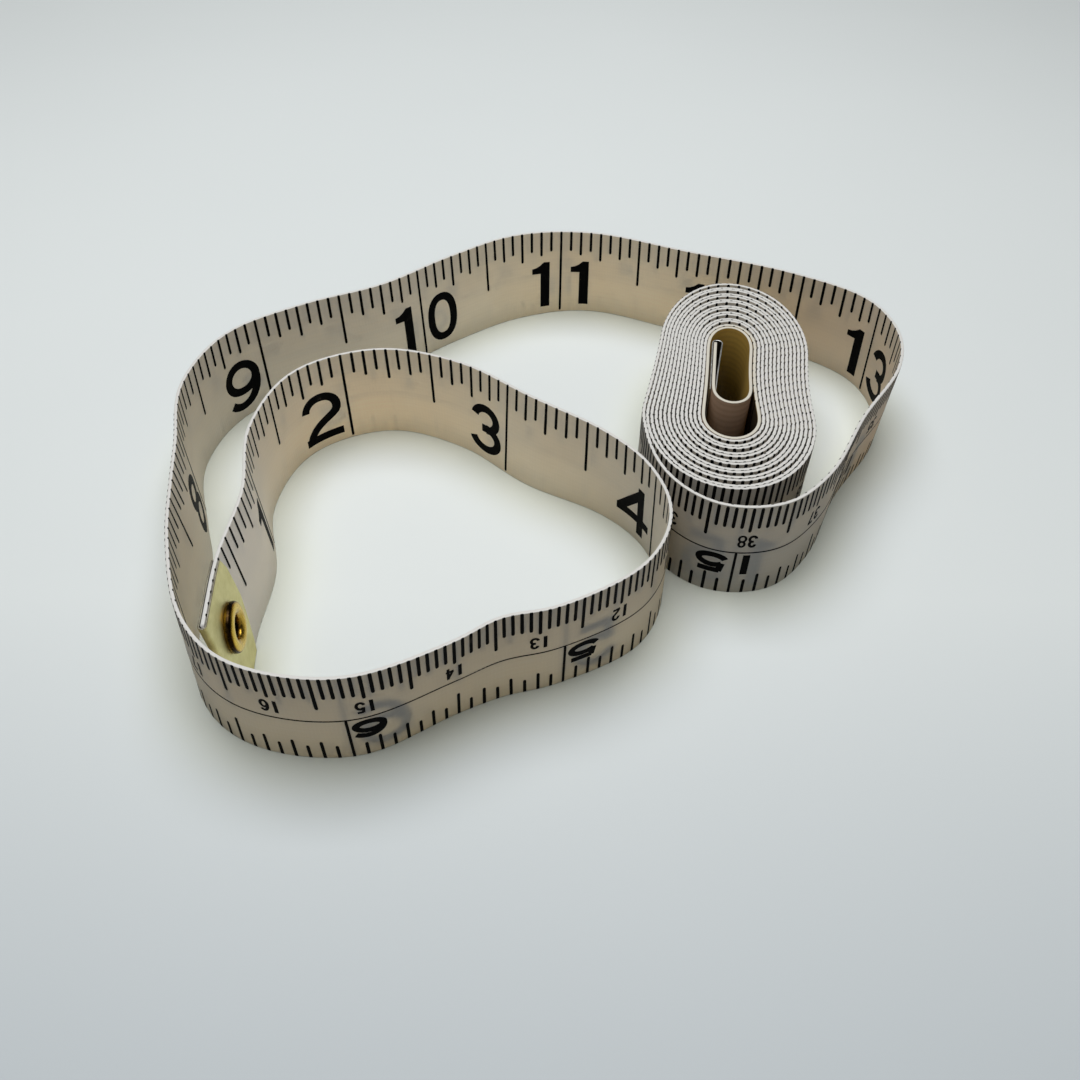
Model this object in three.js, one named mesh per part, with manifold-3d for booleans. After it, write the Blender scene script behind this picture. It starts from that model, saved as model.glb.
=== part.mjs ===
// A cloth tape measure lying loose on a table. It is one limp strip that stands on its lower edge,
// makes two open loops, one inside the other, and runs into a wound coil. A folded sheet-metal tip
// closes each end of the strip, and a brass eyelet rivets the tip at the zero end.
// Units are millimetres, +Z is up, and the origin is on the table under the middle of the object.
import * as THREE from "three";
import { mergeVertices } from "three/addons/utils/BufferGeometryUtils.js";
import Module from "manifold-3d";

const wasm = await Module();
wasm.setup();

// Strip
const TAPE_WIDTH = 15;
const TAPE_THICKNESS = 0.2;
const STEPS_PER_POINT = 5; // steps of the strip between two points of its route

// Air between pieces
const STRETCH_GAP = 0.3; // where the free run meets the coil, and beside the inner tip
const TURN_GAP = 0.42; // between neighbouring turns at the coil's sides
const SHEET_CLEARANCE = 0.2; // between the strip and the sheet folded round it
const EYELET_CLEARANCE = 0.15; // round the eyelet's barrel and under its flanges

// Coil: turns with two straight sides and two round ends, wound outwards from a hollow core
const COIL_TURNS = 13;
const COIL_FRONT = new THREE.Vector2(22.9, -2.7); // middle of the front ends
const COIL_TILT = THREE.MathUtils.degToRad(7.2); // from +Y towards +X
const CORE_LENGTH = 15.3; // straight sides
const CORE_FRONT_HALF_WIDTH = 2.7;
const CORE_BACK_HALF_WIDTH = 2.2;
const CORE_FRONT_DEPTH = 3.6;
const CORE_BACK_DEPTH = 4;
const FRONT_PITCH = 0.75; // the round ends are wound looser than the sides
const BACK_PITCH = 0.83;
const HAIRPIN_PLACE = 4.2; // along the core, where the inner end turns back on itself
const HAIRPIN_DEPTH = 2.6;
const SIDE_STEPS = 4;
const ARC_STEPS = 14;

// Tips: sheet folded round the strip's end, with its far corners rounded
const SHEET_THICKNESS = 0.25;
const TIP_LENGTH = 9.8;
const TIP_INSET = 0.15; // the tip stops this far inside the strip's two edges
const TIP_CORNER = 1.2;
const FOLD_STEPS = 8;

// Eyelet: a barrel through tip and strip, a rolled lip on the face with the large figures and a
// clinched rim on the other
const EYELET_FROM_END = 5.3;
const BORE_RADIUS = 1.4;
const BARREL_WALL = 0.35;
const LIP_RADIUS = 2.9;
const LIP_HEIGHT = 0.95;
const RIM_RADIUS = 2.5;
const RIM_HEIGHT = 0.5;
const EYELET_SIDES = 24;
const ROLL_STEPS = 7;

// Route of the free run on the table, from the zero end to the coil's left side: the inner loop,
// back along the front, round the outer loop behind it and across the front of the coil. A point is
// the upper edge's place and how far the lower edge stands out to its left
const ROUTE = [
  [-36.0, -36.3, -1.2], [-36.7, -26.4, -1.1], [-36.1, -16.4, -0.95], [-37.6, -4.7, 0], [-33.8, 6.4, 0.3],
  [-23.4, 11.2, 0.65], [-12.2, 8.4, -0.25], [-2.5, 1.3, -1], [7.2, -5.7, 0.35], [12.1, -11.8, 0.6],
  [13.9, -19.3, 0.15], [10.7, -27.0, 0.05], [0.8, -33.4, -0.6], [-5.3, -34.9, -0.35],
  [-9.9, -38.0, -1.25], [-20.9, -42.6, -0.2],
  [-32.6, -40.7, 0.5], [-38.6, -35.1, 1.1], [-42.9, -24.0, 0.15], [-44.9, -14.6, -1.2], [-46.0, -8.3, -0.25],
  [-48.2, 3.6, 0.65], [-44.8, 14.6, 0.6], [-35.5, 21.7, 0.1], [-24.6, 27.0, -0.5], [-15.3, 34.6, -0.6],
  [-5.3, 40.9, -0.5], [6.4, 41.8, 1], [21.3, 36.4, 0.9], [36.4, 30.6, 1.6], [46.1, 23.9, 1],
  [48.6, 16.1, 0.3], [46.9, 8.2, -0.5], [39.8, -2.3, -0.85], [33.6, -12.7, -0.15], [27.4, -17.9, 0.2],
  [19.6, -18.0, 0.15], [13.9, -12.7, 0.15],
];

const SIDE_PITCH = TAPE_THICKNESS + TURN_GAP;
const TURN_STEPS = 2 * (SIDE_STEPS + ARC_STEPS);
const FOLD_INNER = TAPE_THICKNESS / 2 + SHEET_CLEARANCE;
const FOLD_OUTER = FOLD_INNER + SHEET_THICKNESS;
const BARREL_RADIUS = BORE_RADIUS + BARREL_WALL;
const EYELET_HOLE = BARREL_RADIUS + EYELET_CLEARANCE;
const CUTTER_DEPTH = 4 * FOLD_OUTER; // reaches past both faces of a folded tip
const OWN_STRETCH = 4 * SIDE_PITCH; // strip this near along its path is no neighbouring turn
const WELD_DISTANCE = 1e-4;
const { lerp } = THREE.MathUtils;

const tapeMaterial = new THREE.MeshStandardMaterial({ color: 0xe6dfcf, roughness: 0.7, metalness: 0 });
const tipMaterial = new THREE.MeshStandardMaterial({ color: 0xbdb678, roughness: 0.4, metalness: 0.9 });
const eyeletMaterial = new THREE.MeshStandardMaterial({ color: 0xa98428, roughness: 0.25, metalness: 1 });
const endTipMaterial = new THREE.MeshStandardMaterial({ color: 0xa3a097, roughness: 0.4, metalness: 0.9 });

// Joins and cuts

function toSolid(geometry) {
  const bare = geometry.clone();
  bare.deleteAttribute("normal");
  bare.deleteAttribute("uv");
  const merged = mergeVertices(bare, WELD_DISTANCE);
  return new wasm.Manifold(
    new wasm.Mesh({
      numProp: 3,
      vertProperties: merged.attributes.position.array,
      triVerts: new Uint32Array(merged.index.array),
    }),
  );
}

function toGeometry(solid) {
  const mesh = solid.getMesh();
  const geometry = new THREE.BufferGeometry();
  geometry.setAttribute("position", new THREE.BufferAttribute(mesh.vertProperties, mesh.numProp));
  geometry.setIndex(new THREE.BufferAttribute(mesh.triVerts, 1));
  geometry.computeVertexNormals();
  return geometry;
}

// The winding: a point is given by how far it lies across the coil and along it from the middle of
// the front ends

function coilPoint(across, along) {
  const point = new THREE.Vector2(across, along);
  return point.rotateAround(new THREE.Vector2(), -COIL_TILT).add(COIL_FRONT);
}

function halfWidths(turns) {
  return [CORE_FRONT_HALF_WIDTH + SIDE_PITCH * turns, CORE_BACK_HALF_WIDTH + SIDE_PITCH * turns];
}

// One step of the winding, counted outwards: up the right side, round the back, down the left side
// and round the front
function windingPoint(step) {
  const turns = step / TURN_STEPS;
  const inTurn = step % TURN_STEPS;
  const [frontHalf, backHalf] = halfWidths(turns);
  if (inTurn < SIDE_STEPS) {
    const share = inTurn / SIDE_STEPS;
    return coilPoint(lerp(frontHalf, backHalf, share), CORE_LENGTH * share);
  }
  if (inTurn < SIDE_STEPS + ARC_STEPS) {
    const angle = (Math.PI * (inTurn - SIDE_STEPS)) / ARC_STEPS;
    const depth = CORE_BACK_DEPTH + BACK_PITCH * turns;
    return coilPoint(backHalf * Math.cos(angle), CORE_LENGTH + depth * Math.sin(angle));
  }
  if (inTurn < 2 * SIDE_STEPS + ARC_STEPS) {
    const share = (inTurn - SIDE_STEPS - ARC_STEPS) / SIDE_STEPS;
    return coilPoint(-lerp(backHalf, frontHalf, share), CORE_LENGTH * (1 - share));
  }
  const angle = (Math.PI * (inTurn - 2 * SIDE_STEPS - ARC_STEPS)) / ARC_STEPS;
  const depth = CORE_FRONT_DEPTH + FRONT_PITCH * turns;
  return coilPoint(-frontHalf * Math.cos(angle), -depth * Math.sin(angle));
}

// The strip's inner end lies inside the hollow, clear of its left wall by the thickness of the tip,
// and turns back through a hairpin into the first right side
function innerEnd() {
  const room = TAPE_THICKNESS / 2 + STRETCH_GAP + FOLD_OUTER;
  const wallBack = halfWidths((SIDE_STEPS + ARC_STEPS) / TURN_STEPS)[1];
  const wallFront = halfWidths((2 * SIDE_STEPS + ARC_STEPS) / TURN_STEPS)[0];
  const left = (along) => room - lerp(wallFront, wallBack, along / CORE_LENGTH);
  const [rightFront, rightBack] = halfWidths(0);
  const right = lerp(rightFront, rightBack, HAIRPIN_PLACE / CORE_LENGTH);
  const middle = (left(HAIRPIN_PLACE) + right) / 2;
  const half = (right - left(HAIRPIN_PLACE)) / 2;
  const points = [coilPoint(left(CORE_LENGTH), CORE_LENGTH)];
  for (let i = 0; i < ARC_STEPS; i++) {
    const angle = (Math.PI * i) / ARC_STEPS;
    const along = HAIRPIN_PLACE - HAIRPIN_DEPTH * Math.sin(angle);
    points.push(coilPoint(middle - half * Math.cos(angle), along));
  }
  points.push(coilPoint(right, HAIRPIN_PLACE));
  return points;
}

function coilPath() {
  const points = innerEnd();
  const firstStep = Math.floor((SIDE_STEPS * HAIRPIN_PLACE) / CORE_LENGTH) + 1;
  const lastStep = COIL_TURNS * TURN_STEPS + 2 * SIDE_STEPS + ARC_STEPS;
  for (let step = firstStep; step <= lastStep; step++) points.push(windingPoint(step));
  return points;
}

// The free run: a smooth curve through its route that goes on along the coil's left side, cut off
// just short of the coil. The curve's third number is the lean of the strip
function freeRun(coil) {
  const end = coil.length - 1;
  const places = ROUTE.map(([x, y, lean]) => new THREE.Vector3(x, y, lean));
  for (const { x, y } of [coil[end], coil[end - SIDE_STEPS]]) places.push(new THREE.Vector3(x, y, 0));
  const curve = new THREE.CatmullRomCurve3(places, false, "centripetal");
  const spans = places.length - 1;
  const samples = [];
  for (let i = 0; i <= (spans - 1) * STEPS_PER_POINT; i++) {
    samples.push(curve.getPoint(i / (spans * STEPS_PER_POINT)));
  }
  const points = samples.map(({ x, y }) => new THREE.Vector2(x, y));
  const last = points[points.length - 1];
  last.add(points[points.length - 2].clone().sub(last).setLength(STRETCH_GAP));
  return { points, leans: samples.map(({ z }) => z) };
}

function pathLength(points) {
  return points.slice(1).reduce((sum, point, i) => sum + point.distanceTo(points[i]), 0);
}

// Least air between parts of one path that don't follow each other closely
function leastGap(points) {
  const places = [0];
  for (let i = 1; i < points.length; i++) places.push(places[i - 1] + points[i].distanceTo(points[i - 1]));
  let least = Infinity;
  for (let i = 0; i < points.length; i++) {
    for (let j = i + 1; j < points.length - 1; j++) {
      if (places[j] - places[i] < OWN_STRETCH) continue;
      const span = new THREE.Line3(
        new THREE.Vector3(points[j].x, points[j].y, 0),
        new THREE.Vector3(points[j + 1].x, points[j + 1].y, 0),
      );
      const point = new THREE.Vector3(points[i].x, points[i].y, 0);
      const nearest = span.closestPointToPoint(point, true, new THREE.Vector3());
      least = Math.min(least, nearest.distanceTo(point));
    }
  }
  return least - TAPE_THICKNESS;
}

// The strip standing on edge along a path, as one closed ribbon
function ribbonGeometry(points, leans) {
  const count = points.length;
  const positions = [];
  for (let i = 0; i < count; i++) {
    const before = points[Math.max(i - 1, 0)];
    const after = points[Math.min(i + 1, count - 1)];
    const arriving = points[i].clone().sub(before);
    const leaving = after.clone().sub(points[i]);
    if (i === 0) arriving.copy(leaving);
    if (i === count - 1) leaving.copy(arriving);
    const along = arriving.clone().normalize().add(leaving.clone().normalize()).normalize();
    const half = TAPE_THICKNESS / 2 / along.dot(leaving.normalize());
    const corners = [
      [leans[i] + half, 0],
      [leans[i] - half, 0],
      [-half, TAPE_WIDTH],
      [half, TAPE_WIDTH],
    ];
    for (const [left, z] of corners) {
      positions.push(points[i].x - left * along.y, points[i].y + left * along.x, z);
    }
  }
  const index = [0, 1, 2, 0, 2, 3];
  for (let i = 0; i < count - 1; i++) {
    for (let k = 0; k < 4; k++) {
      const a = 4 * i + k;
      const b = 4 * i + ((k + 1) % 4);
      index.push(a, a + 4, b, b, a + 4, b + 4);
    }
  }
  const end = 4 * (count - 1);
  index.push(end, end + 2, end + 1, end, end + 3, end + 2);
  const geometry = new THREE.BufferGeometry();
  geometry.setAttribute("position", new THREE.Float32BufferAttribute(positions, 3));
  geometry.setIndex(index);
  return geometry;
}

// Tips and eyelet are made in a frame at the strip's end: X along the strip from its end, Y across
// its thickness and Z up

function tipFold() {
  const shape = new THREE.Shape();
  shape.moveTo(TIP_LENGTH, FOLD_OUTER);
  shape.lineTo(0, FOLD_OUTER);
  shape.absarc(0, 0, FOLD_OUTER, Math.PI / 2, (3 * Math.PI) / 2, false);
  shape.lineTo(TIP_LENGTH, -FOLD_OUTER);
  shape.lineTo(TIP_LENGTH, -FOLD_INNER);
  shape.lineTo(0, -FOLD_INNER);
  shape.absarc(0, 0, FOLD_INNER, (3 * Math.PI) / 2, Math.PI / 2, true);
  shape.lineTo(TIP_LENGTH, FOLD_INNER);
  const options = { depth: TAPE_WIDTH, bevelEnabled: false, curveSegments: FOLD_STEPS };
  return toSolid(new THREE.ExtrudeGeometry(shape, options));
}

function tipOutline() {
  const low = TIP_INSET;
  const high = TAPE_WIDTH - TIP_INSET;
  const shape = new THREE.Shape();
  shape.moveTo(-CUTTER_DEPTH / 2, low);
  shape.lineTo(TIP_LENGTH - TIP_CORNER, low);
  shape.absarc(TIP_LENGTH - TIP_CORNER, low + TIP_CORNER, TIP_CORNER, -Math.PI / 2, 0, false);
  shape.absarc(TIP_LENGTH - TIP_CORNER, high - TIP_CORNER, TIP_CORNER, 0, Math.PI / 2, false);
  shape.lineTo(-CUTTER_DEPTH / 2, high);
  const options = { depth: CUTTER_DEPTH, bevelEnabled: false, curveSegments: FOLD_STEPS };
  const geometry = new THREE.ExtrudeGeometry(shape, options);
  geometry.translate(0, 0, -CUTTER_DEPTH / 2);
  geometry.rotateX(Math.PI / 2);
  return toSolid(geometry);
}

function eyeletHoleGeometry() {
  const geometry = new THREE.CylinderGeometry(EYELET_HOLE, EYELET_HOLE, CUTTER_DEPTH, EYELET_SIDES);
  return geometry.translate(EYELET_FROM_END, 0, TAPE_WIDTH / 2);
}

function tipGeometry(riveted) {
  const tip = tipFold().intersect(tipOutline());
  return toGeometry(riveted ? tip.subtract(toSolid(eyeletHoleGeometry())) : tip);
}

// Half-round section from the bore over the top and down to a flange's outer edge
function rollPoints(radius, height, seat, sign) {
  const middle = (BORE_RADIUS + radius) / 2;
  const half = (radius - BORE_RADIUS) / 2;
  const points = [];
  for (let i = 0; i <= ROLL_STEPS; i++) {
    const angle = (Math.PI * i) / ROLL_STEPS;
    points.push(
      new THREE.Vector2(middle - half * Math.cos(angle), sign * (seat + height * Math.sin(angle))),
    );
  }
  return points;
}

function eyeletGeometry() {
  const seat = FOLD_OUTER + EYELET_CLEARANCE;
  const lip = rollPoints(LIP_RADIUS, LIP_HEIGHT, seat, -1);
  const rim = rollPoints(RIM_RADIUS, RIM_HEIGHT, seat, 1).reverse();
  const profile = [
    ...lip,
    new THREE.Vector2(BARREL_RADIUS, -seat),
    new THREE.Vector2(BARREL_RADIUS, seat),
    ...rim,
    lip[0].clone(),
  ];
  const geometry = new THREE.LatheGeometry(profile, EYELET_SIDES);
  return geometry.translate(EYELET_FROM_END, 0, TAPE_WIDTH / 2);
}

// A group at one end of a path, turned to look along it and leaning with the strip about its upper edge
function endGroup(points, lean) {
  const along = points[1].clone().sub(points[0]);
  const group = new THREE.Group();
  group.rotation.set(Math.asin(lean / TAPE_WIDTH), 0, Math.atan2(along.y, along.x), "ZYX");
  const upward = new THREE.Vector3(0, 0, TAPE_WIDTH);
  group.position.set(points[0].x, points[0].y, TAPE_WIDTH).sub(upward.applyEuler(group.rotation));
  group.updateMatrixWorld();
  return group;
}

function piece(name, geometry, material) {
  const mesh = new THREE.Mesh(geometry, material);
  mesh.name = name;
  return mesh;
}

const coil = coilPath();
const free = freeRun(coil);
const zeroEnd = endGroup(free.points, free.leans[0]);
const innerTip = endGroup(coil, 0);

const hole = toSolid(eyeletHoleGeometry().applyMatrix4(zeroEnd.matrixWorld));
const freeStrip = toSolid(ribbonGeometry(free.points, free.leans)).subtract(hole);
const coilStrip = ribbonGeometry(coil, coil.map(() => 0));

zeroEnd.add(piece("start_tip", tipGeometry(true), tipMaterial));
zeroEnd.add(piece("eyelet", eyeletGeometry(), eyeletMaterial));
innerTip.add(piece("end_tip", tipGeometry(false), endTipMaterial));

const tapeMeasure = new THREE.Group();
tapeMeasure.add(piece("tape_free_run", toGeometry(freeStrip), tapeMaterial));
tapeMeasure.add(piece("tape_coil", coilStrip, tapeMaterial.clone()));
tapeMeasure.add(zeroEnd, innerTip);

const stripLength = pathLength(free.points) + STRETCH_GAP + pathLength(coil);
console.log("strip length " + stripLength.toFixed(0) + " mm");
console.log("coil's least gap to itself " + leastGap(coil).toFixed(3) + " mm");

export default tapeMeasure;
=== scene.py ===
"""The looks of a cloth tape measure, on edge in loose loops and a coil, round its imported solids."""
import math

import bmesh
import bpy
import numpy as np
from mathutils import Matrix, Vector
from mathutils.geometry import delaunay_2d_cdt


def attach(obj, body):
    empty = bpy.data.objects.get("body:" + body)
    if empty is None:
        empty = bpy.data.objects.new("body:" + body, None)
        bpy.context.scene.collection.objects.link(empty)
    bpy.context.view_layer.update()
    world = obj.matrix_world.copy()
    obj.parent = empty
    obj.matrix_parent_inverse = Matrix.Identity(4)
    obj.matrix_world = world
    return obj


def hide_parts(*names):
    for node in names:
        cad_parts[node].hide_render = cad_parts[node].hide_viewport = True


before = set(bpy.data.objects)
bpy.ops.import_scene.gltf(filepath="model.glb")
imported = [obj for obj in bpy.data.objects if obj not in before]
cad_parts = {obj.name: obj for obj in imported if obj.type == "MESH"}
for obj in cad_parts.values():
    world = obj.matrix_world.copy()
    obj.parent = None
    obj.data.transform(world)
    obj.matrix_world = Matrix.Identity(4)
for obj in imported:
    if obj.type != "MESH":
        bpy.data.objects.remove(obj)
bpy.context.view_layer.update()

# Lengths are in millimetres until a mesh is made.
MM = 0.001
INCH = 25.4

# The strip: its width stands up, and its faces are A, on the right of the way it runs from zero, and B.
WIDTH = 15.0
HALF_THICKNESS = 0.205
EDGE_ROUND = 0.06
CORNER = 0.3 * EDGE_ROUND
STEP = 0.5
SOFTENED_STEPS = 2
FACE_A = -1
FACE_B = 1

# The way that the free run takes from zero, as x, y and how far the lower edge stands out to the left.
ROUTE_STEPS = 24
ROUTE = [
    (-36.0, -36.3, -1.2), (-36.7, -26.4, -1.1), (-36.1, -16.4, -0.95), (-37.6, -4.7, 0), (-33.8, 6.4, 0.3),
    (-23.4, 11.2, 0.65), (-12.2, 8.4, -0.25), (-2.5, 1.3, -1), (7.2, -5.7, 0.35), (12.1, -11.8, 0.6),
    (13.9, -19.3, 0.15), (10.7, -27.0, 0.05), (0.8, -33.4, -0.6), (-5.3, -34.9, -0.35),
    (-9.9, -38.0, -1.25), (-20.9, -42.6, -0.2), (-32.6, -40.7, 0.5), (-38.6, -35.1, 1.1),
    (-42.9, -24.0, 0.15), (-44.9, -14.6, -1.2), (-46.0, -8.3, -0.25),
    (-48.2, 3.6, 0.65), (-44.8, 14.6, 0.6), (-35.5, 21.7, 0.1), (-24.6, 27.0, -0.5), (-15.3, 34.6, -0.6),
    (-5.3, 40.9, -0.5), (6.4, 41.8, 1), (21.3, 36.4, 0.9), (36.4, 30.6, 1.6), (46.1, 23.9, 1),
    (48.6, 16.1, 0.3), (46.9, 8.2, -0.5), (39.8, -2.3, -0.85), (33.6, -12.7, -0.15), (27.4, -17.9, 0.2),
    (19.6, -18.0, 0.15), (13.9, -12.7, 0.15),
]

# The coil: flattened turns about a straight core that leans from +Y towards +X.
COIL_FRONT = (22.9, -2.7)
COIL_TILT = math.radians(7.2)
CORE_LENGTH = 15.3
TURNS = 14
SIDE_STEPS = 10
ARC_STEPS = 30
TURN_STEPS = 2 * (SIDE_STEPS + ARC_STEPS)
# Each reach is its size at the core and its growth over a turn.
LEFT_FRONT = (3.25, 0.54)
LEFT_BACK = (2.85, 0.458)
RIGHT_FRONT = (3.10, 0.521)
RIGHT_BACK = (2.70, 0.532)
FRONT_DEPTH = (3.40, 0.70)
BACK_DEPTH = (4.03, 0.769)
# The sides are drawn in at the waist, and the turns lie in pairs at the two ends.
LEFT_WAIST = 0.12
RIGHT_WAIST = 0.42
FRONT_SLACK = 0.12
BACK_SLACK = 0.15
FRONT_TURN = 0.8
BACK_TURN = 0.306
UNEVEN = 0.04
UNEVEN_RATE = 1.7
# The hairpin in the hollow, and the tail that runs back from it to the inner end.
HAIRPIN_PLACE = 5.4
HAIRPIN_DEPTH = 2.6
INNER_REACH = 2.35
INNER_END_REACH = 2.1
INNER_END = 16.2
TAIL_STEPS = 8

# The cloth's tones change along this first length; the stops below are shares of it.
TONED_LENGTH = 400.0
# How far the cloth has yellowed.
AGED = ((0.07, 0.0), (0.125, 1.0), (0.21, 0.9), (0.27, 0.3),
        (0.6, 0.1), (0.68, 1.0), (0.84, 0.9), (0.92, 0.1))
# How bright the cloth is along that length, as painted light and shade: stops above one brighten a stretch
# as painted light, and stops below one darken or brown it as painted shade.
LIGHT_AND_SHADE_ALONG = [
    (0.125, (1.06, 1.03, 1.0)), (0.19, (0.96, 0.96, 0.96)), (0.25, (0.88, 0.88, 0.88)),
    (0.3, (0.96, 0.96, 0.96)), (0.5, (0.955, 0.955, 0.955)), (0.55, (0.88, 0.88, 0.88)),
    (0.6, (0.88, 0.88, 0.88)), (0.65, (1.0, 1.0, 0.99)), (0.755, (1.05, 1.03, 1.0)),
    (0.8, (0.9, 0.85, 0.83)), (0.86, (0.9, 0.85, 0.83)), (0.93, (0.93, 0.93, 0.93)),
]
# The bare tail, painted with the hollow's shade, starts here, and this stretch of it stands in the narrow
# gap beside the hairpin, where it is painted black as shade.
BARE_FROM = 1500.0
POCKET = (1510.0, 1534.0)

# The print: raised ink that is sunk a little into both faces.
PRINTED_INCHES = 60
INK_HEIGHT = 0.022
INK_SINK = 0.03
# The print lags the strip's even length a little along the loops, as places and lags.
PRINT_LAG = ((0, 0.1), (60, 0.85), (300, 1.65), (360, 0.45))
# Ink creeps over the upper edge, less on face B, and more unevenly from where the strip is wound.
COIL_FROM = 395.0
CREEP = 0.034
CREEP_VARIES = 0.018
COIL_CREEP_VARIES = 0.03
FACE_B_CREEP = 0.5
# Between these places a face's marks stop short of the upper edge, which the photo shows clean there.
CLEAN_EDGE = 0.12
CLEAN_RUNS = {FACE_A: [(100.0, 172.0)], FACE_B: [(0.0, 100.0), (205.0, COIL_FROM)]}
# Ticks, as every how many steps of the scale one comes, its stroke and its length from the strip's edge.
SIXTEENTHS = 16
INCH_TICKS_A = ((16, 0.37, WIDTH - 0.35), (8, 0.38, 8.3), (4, 0.40, 5.0), (2, 0.40, 4.15), (1, 0.40, 3.4))
INCH_TICKS_B = ((16, 0.32, 7.3), (8, 0.38, 4.5), (2, 0.38, 3.3), (1, 0.38, 2.45))
MILLIMETRE_TICKS = ((10, 0.40, 4.1), (5, 0.40, 5.4), (1, 0.40, 3.5))
# A tick's free end narrows by a share of its stroke over this length, and so does its end over the edge.
TICK_ROUND = 0.22
FREE_END_NARROWS = 0.45
OVER_EDGE_NARROWS = 0.32
# Face B's line along the strip, from its lower to its upper side; it starts just past the start tip.
MIDDLE_LINE = (7.22, 7.40)
MIDDLE_LINE_FROM = 10.35
# Face A's large digits, and their gaps to the inch line between them.
LARGE_HEIGHT = 8.3
LARGE_BASE = 1.4
LARGE_STROKE = 1.27
LARGE_WIDTHS = {"0": 5.5, "2": 6.1, "3": 5.5, "4": 6.5, "5": 5.6, "6": 5.9, "7": 5.6, "8": 5.8, "9": 6.0}
LARGE_GAP = 1.0
ONE_BAR = 1.5
ONE_FLAG = 1.4
ONE_GAP_BEFORE = 1.8
ONE_GAP_AFTER = 1.64
# Face B's digits, which stand on their heads from a height z, with a plain bar for a one.
CENTIMETRE_DIGIT = {"z": 10.35, "width": 1.08, "height": 2.1, "stroke": 0.34, "bar": 0.42}
INCH_DIGIT = {"z": 6.88, "width": 3.8, "height": 3.45, "stroke": 0.82, "bar": 0.86}
# The strokes of an eight there are thinner, by this share.
EIGHT_STROKE = 0.84
# The room that a one and any other digit take up.
CENTIMETRE_ROOM = (0.4, 1.06)
INCH_ROOM = (0.8, 3.8)
# The start tip covers the first centimetre.
FIRST_CENTIMETRE = 2
CENTIMETRE_PITCH = 1.22
INCH_GAP_ALONE = 0.42
INCH_GAP_BEFORE = 0.95
INCH_GAP_AFTER = 0.9
# Points of round strokes are so many degrees apart; cuts overshoot a shape a little; close points are one.
ARC_DEGREES = 11
CUT_MARGIN = 0.1
WELD = 1e-4

# The tips and the eyelet.
SHEET_GAP = 0.06
SHEET = 0.22
# Free edges of the two tips' sheets, as heights up the strip and lengths from its end.
START_TIP_EDGE = (
    (0.05, 7.8), (1.2, 8.35), (4.2, 9.25), (7.8, 10.05), (10.4, 9.95), (13.0, 9.8), (14.95, 9.1),
)
END_TIP_EDGE = ((0.05, 9.1), (0.55, 9.6), (14.4, 9.6), (14.9, 9.1))
END_TIP_SPREAD = 0.55
SPREAD_POWER = 1.2
FOLD_CUTS = 12
EYELET_PLACE = 4.6
EYELET_UP = 8.6
EYELET_HOLE = 1.78
EYELET_SIDES = 64
HOLE_SIDES = 36
# How dark the eyelet's lip is painted, from its foot over the ridge to the bore: painted shade and dark
# reflection down its outer side and in the bore.
LIP_PAINTED_SHADE = (0.9, 1.0, 1.0, 0.85, 0.3, 0.0, 0.0, 0.0, 0.1, 0.2, 0.25, 0.3, 0.3, 0.35, 0.4, 0.5)

# The table top: a fine grid round the object, coarse lines far out, and a warm painted glow near the strip.
FLOOR_DROP = 0.03
FLOOR_PITCH = 1.6
FLOOR_HALF_COUNT = 46
FLOOR_FAR = (100, 200, 500, 1500)
TINT_REACH = 5

# How deep the bumps of the cloth and the metals are, in metres.
BUMP_DEPTH = 0.00002

# The camera was fitted to the printed scale in the photo; its place is in metres.
CAMERA_PLACE = (-0.0012, -0.0977, 0.09513)
CAMERA_PITCH = math.radians(47.39)
CAMERA_ROLL = math.radians(0.33)
CAMERA_SENSOR = 36.0
CAMERA_LENS = 32.52


def curve(points, steps):
    """A centripetal Catmull-Rom curve through the points, with so many steps a span."""
    knots = [np.array(p, float) for p in points]
    knots = [2 * knots[0] - knots[1]] + knots + [2 * knots[-1] - knots[-2]]
    out = []
    for before, a, b, after in zip(knots, knots[1:], knots[2:], knots[3:]):
        first = max(np.linalg.norm(a - before) ** 0.5, 1e-6)
        span = max(np.linalg.norm(b - a) ** 0.5, 1e-6)
        last = max(np.linalg.norm(after - b) ** 0.5, 1e-6)
        start = ((a - before) / first - (b - before) / (first + span) + (b - a) / span) * span
        end = ((b - a) / span - (after - a) / (span + last) + (after - b) / last) * span
        for t in np.arange(steps) / steps:
            cube = 2 * a - 2 * b + start + end
            square = -3 * a + 3 * b - 2 * start - end
            out.append(a + start * t + square * t * t + cube * t ** 3)
    out.append(knots[-2])
    return np.array(out)


def evenly(points, step):
    """The same line with points a fixed step apart."""
    lengths = np.concatenate([[0], np.cumsum(np.linalg.norm(np.diff(points[:, :2], axis=0), axis=1))])
    places = np.arange(0, lengths[-1], step)
    return np.stack([np.interp(places, lengths, column) for column in points.T], axis=1)


def softened(points, width):
    """The line with its small corners rounded off, by a bell curve so many points wide."""
    pad = 3 * width
    weights = np.exp(-0.5 * (np.arange(-pad, pad + 1) / width) ** 2)
    weights /= weights.sum()
    low = 2 * points[0] - points[pad:0:-1]
    high = 2 * points[-1] - points[-2:-pad - 2:-1]
    long = np.concatenate([low, points, high])
    return np.stack([np.convolve(column, weights, "valid") for column in long.T], axis=1)


def coil_place(across, along):
    """A route point at so much across and along the coil's core."""
    x = COIL_FRONT[0] + across * math.cos(COIL_TILT) + along * math.sin(COIL_TILT)
    y = COIL_FRONT[1] - across * math.sin(COIL_TILT) + along * math.cos(COIL_TILT)
    return (x, y, 0.0)


def reach(size, turns):
    """How far a side or end stands out after so many turns."""
    return size[0] + size[1] * turns


def slack(turns, amount):
    """How far a turn stands off an even spacing, so that turns lie in pairs with gaps between."""
    return amount * math.cos(math.pi * turns) + UNEVEN * math.sin(UNEVEN_RATE * turns)


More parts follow.
